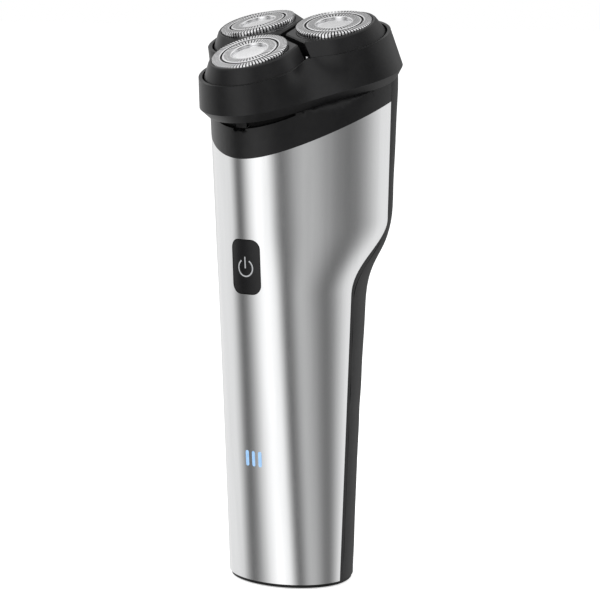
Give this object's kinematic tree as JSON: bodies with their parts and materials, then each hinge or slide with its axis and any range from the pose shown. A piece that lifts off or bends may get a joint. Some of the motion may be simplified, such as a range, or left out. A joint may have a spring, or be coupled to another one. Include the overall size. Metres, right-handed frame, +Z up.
{
  "type": "electric shaver",
  "caption": "Handheld rotary electric shaver: tapered steel-fronted handle, power button, flip-open angled head with floating round slotted guards over driven cutters.",
  "frame": {"origin": "centre line of the handle on the flat underside of the foot", "axes": "+Z up the handle towards the head, front (button side) towards -Y, +X to the right seen from the front"},
  "size_m": [0.0608, 0.0567, 0.165],
  "materials": {
    "satin_steel": "satin",
    "rear_plastic": "satin dark grey",
    "black_plastic": "semi-gloss black",
    "foot_plastic": "matt black",
    "button_plastic": "semi-gloss black with a pale symbol",
    "lens": "pale blue, translucent",
    "guard_steel": "fine turned",
    "cutter_steel": "ground",
    "drive_plastic": "natural acetal",
    "pinion_brass": "cut",
    "pin_steel": "bright",
    "frame_plastic": "dark grey",
    "seal_rubber": "matt",
    "motor_steel": "zinc plated",
    "battery_wrap": "shrink wrap",
    "board": "solder mask",
    "switch_plastic": "moulded",
    "lamp": "clear"
  },
  "bodies": {
    "body": {"front_shell": "satin_steel", "rear_shell": "rear_plastic", "collar": "black_plastic", "base_cap": "foot_plastic", "indicator_lens": "lens", "hinge_pin": "pin_steel", "gear_axles": "pin_steel", "spindle_seals": "seal_rubber", "gear_plate": "frame_plastic", "drive_deck": "frame_plastic", "deck_screws": "pin_steel", "motor_can": "motor_steel", "motor_end_cap": "frame_plastic", "motor_screws": "pin_steel", "chassis": "frame_plastic", "chassis_screws": "pin_steel", "battery": "battery_wrap", "battery_tabs": "pin_steel", "circuit_board": "board", "tact_switch": "switch_plastic", "status_led": "lamp", "charge_socket": "pin_steel"},
    "power_button": {"power_button": "button_plastic"},
    "release_button": {"release_button": "black_plastic"},
    "head": {"head_base": "black_plastic", "head_frame": "frame_plastic", "holder_pins": "pin_steel"},
    "motor_rotor": {"motor_shaft": "pin_steel", "pinion": "pinion_brass", "rotor": "motor_steel"},
    "holder_front": {"holder_front": "black_plastic", "guard_front": "guard_steel"},
    "cutter_front": {"cutter_front": "cutter_steel"},
    "drive_front": {"drive_gear_front": "drive_plastic", "coupler_front": "drive_plastic"},
    "holder_right": {"holder_right": "black_plastic", "guard_right": "guard_steel"},
    "cutter_right": {"cutter_right": "cutter_steel"},
    "drive_right": {"drive_gear_right": "drive_plastic", "coupler_right": "drive_plastic"},
    "holder_left": {"holder_left": "black_plastic", "guard_left": "guard_steel"},
    "cutter_left": {"cutter_left": "cutter_steel"},
    "drive_left": {"drive_gear_left": "drive_plastic", "coupler_left": "drive_plastic"}
  },
  "joints": [
    {"name": "power_press", "type": "slide", "parent": "body", "child": "power_button", "axis": [0, 0.9978, 0.0659], "range_m": [0, 0.0008], "stiffness_N_per_m": 900},
    {"name": "release_press", "type": "slide", "parent": "body", "child": "release_button", "axis": [0, 0.9632, 0.2689], "range_m": [0, 0.0015], "stiffness_N_per_m": 900},
    {"name": "head_open", "type": "hinge", "parent": "body", "child": "head", "pos_m": [0, 0.02183, 0.14859], "axis": [-1, 0, 0], "range_deg": [0, 75]},
    {"name": "motor_spin", "type": "hinge", "parent": "body", "child": "motor_rotor", "pos_m": [0, 0.00432, 0.13085], "axis": [0, -0.3272, 0.9449], "continuous": true},
    {"name": "holder_front_rock", "type": "hinge", "parent": "head", "child": "holder_front", "pos_m": [0, -0.01774, 0.14713], "axis": [1, 0, 0], "range_deg": [-4, 4], "stiffness_Nm_per_rad": 0.3},
    {"name": "cutter_front_spin", "type": "hinge", "parent": "holder_front", "child": "cutter_front", "pos_m": [0, -0.02017, 0.15412], "axis": [0, -0.4003, 0.9164], "continuous": true},
    {"name": "drive_front_spin", "type": "hinge", "parent": "body", "child": "drive_front", "pos_m": [0, -0.01313, 0.13539], "axis": [0, -0.3272, 0.9449], "continuous": true},
    {"name": "holder_right_rock", "type": "hinge", "parent": "head", "child": "holder_right", "pos_m": [0.01344, 0.00425, 0.15475], "axis": [-0.5, 0.8183, 0.2834], "range_deg": [-4, 4], "stiffness_Nm_per_rad": 0.3},
    {"name": "cutter_right_spin", "type": "hinge", "parent": "holder_right", "child": "cutter_right", "pos_m": [0.01344, 0.00183, 0.16174], "axis": [0.0679, -0.2891, 0.9549], "continuous": true},
    {"name": "drive_right_spin", "type": "hinge", "parent": "body", "child": "drive_right", "pos_m": [0.01299, 0.00813, 0.14276], "axis": [0, -0.3272, 0.9449], "continuous": true},
    {"name": "holder_left_rock", "type": "hinge", "parent": "head", "child": "holder_left", "pos_m": [-0.01344, 0.00425, 0.15475], "axis": [-0.5, -0.8183, -0.2834], "range_deg": [-4, 4], "stiffness_Nm_per_rad": 0.3},
    {"name": "cutter_left_spin", "type": "hinge", "parent": "holder_left", "child": "cutter_left", "pos_m": [-0.01344, 0.00183, 0.16174], "axis": [-0.0679, -0.2891, 0.9549], "continuous": true},
    {"name": "drive_left_spin", "type": "hinge", "parent": "body", "child": "drive_left", "pos_m": [-0.01299, 0.00813, 0.14276], "axis": [0, -0.3272, 0.9449], "continuous": true}
  ],
  "couplings": [
    {"joint": "drive_front_spin", "follows": "motor_spin", "ratio": -0.6},
    {"joint": "cutter_front_spin", "follows": "motor_spin", "ratio": -0.6},
    {"joint": "drive_right_spin", "follows": "motor_spin", "ratio": -0.6},
    {"joint": "cutter_right_spin", "follows": "motor_spin", "ratio": -0.6},
    {"joint": "drive_left_spin", "follows": "motor_spin", "ratio": -0.6},
    {"joint": "cutter_left_spin", "follows": "motor_spin", "ratio": -0.6}
  ]
}
